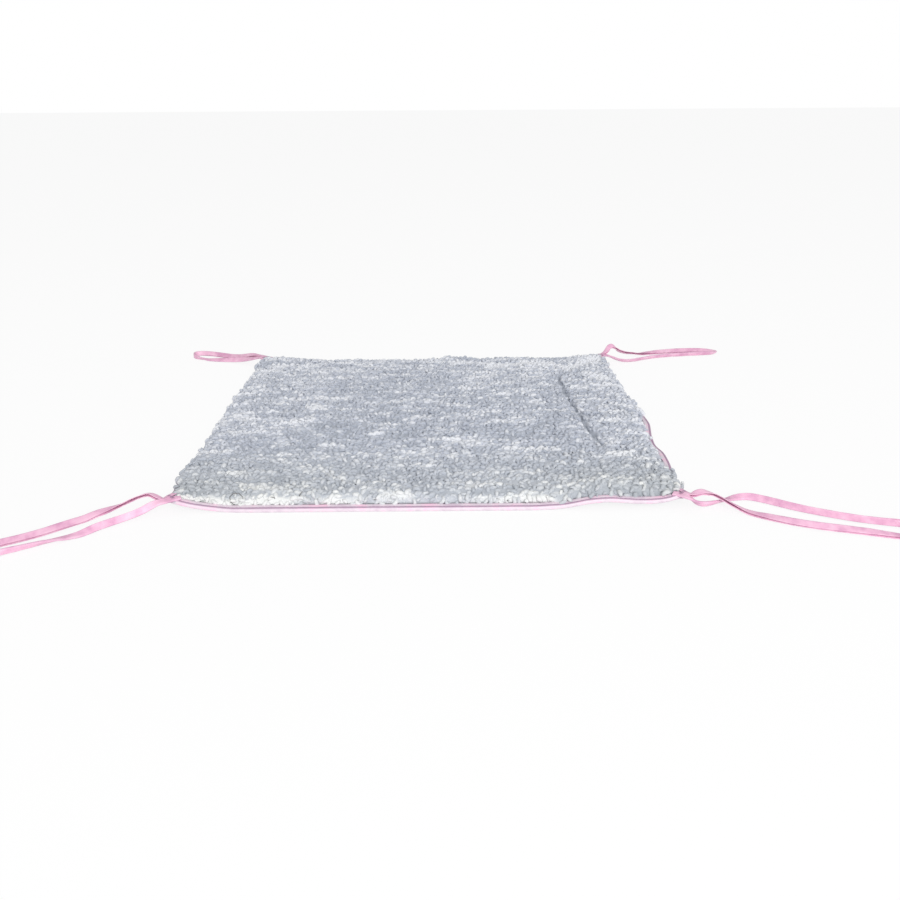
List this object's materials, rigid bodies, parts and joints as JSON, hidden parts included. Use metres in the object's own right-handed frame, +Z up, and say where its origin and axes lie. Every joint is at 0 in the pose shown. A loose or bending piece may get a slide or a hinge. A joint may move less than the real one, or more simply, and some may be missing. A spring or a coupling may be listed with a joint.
{
  "type": "chair cat hammock",
  "caption": "Flat rectangular sherpa pad with a satin tape binding, and a tape tie loop at each corner for hanging it between chair legs.",
  "frame": {"origin": "the centre of the flat underside of the pad, on the surface it rests on", "axes": "+X to the right of the picture, +Y to its rear, +Z up, through the pad's thickness"},
  "size_m": [0.7026, 0.55, 0.0239],
  "materials": {
    "sherpa": "curly lambs-wool pile, matt",
    "wadding": "polyester batting",
    "lining": "plain knit, matt",
    "satin_tape": "satin weave, soft sheen"
  },
  "bodies": {
    "pad": {"sherpa_panel": "sherpa", "wadding": "wadding", "lining_panel": "lining", "binding_front": "satin_tape", "binding_right": "satin_tape", "binding_rear": "satin_tape", "binding_left": "satin_tape"},
    "tie_loop_front_left": {"tie_loop_front_left": "satin_tape"},
    "tie_loop_front_right": {"tie_loop_front_right": "satin_tape"},
    "tie_loop_rear_left": {"tie_loop_rear_left": "satin_tape"},
    "tie_loop_rear_right": {"tie_loop_rear_right": "satin_tape"}
  },
  "joints": [
    {"name": "tie_swing_front_left", "type": "hinge", "parent": "pad", "child": "tie_loop_front_left", "pos_m": [-0.19763, -0.19763, 0.01058], "axis": [-0.7071, 0.7071, 0], "range_deg": [-90, 90]},
    {"name": "tie_swing_front_right", "type": "hinge", "parent": "pad", "child": "tie_loop_front_right", "pos_m": [0.19763, -0.19763, 0.01102], "axis": [-0.7071, -0.7071, 0], "range_deg": [-90, 90]},
    {"name": "tie_swing_rear_left", "type": "hinge", "parent": "pad", "child": "tie_loop_rear_left", "pos_m": [-0.19763, 0.19763, 0.0123], "axis": [0.7071, 0.7071, 0], "range_deg": [-90, 90]},
    {"name": "tie_swing_rear_right", "type": "hinge", "parent": "pad", "child": "tie_loop_rear_right", "pos_m": [0.19763, 0.19763, 0.01204], "axis": [0.7071, -0.7071, 0], "range_deg": [-90, 90]}
  ]
}
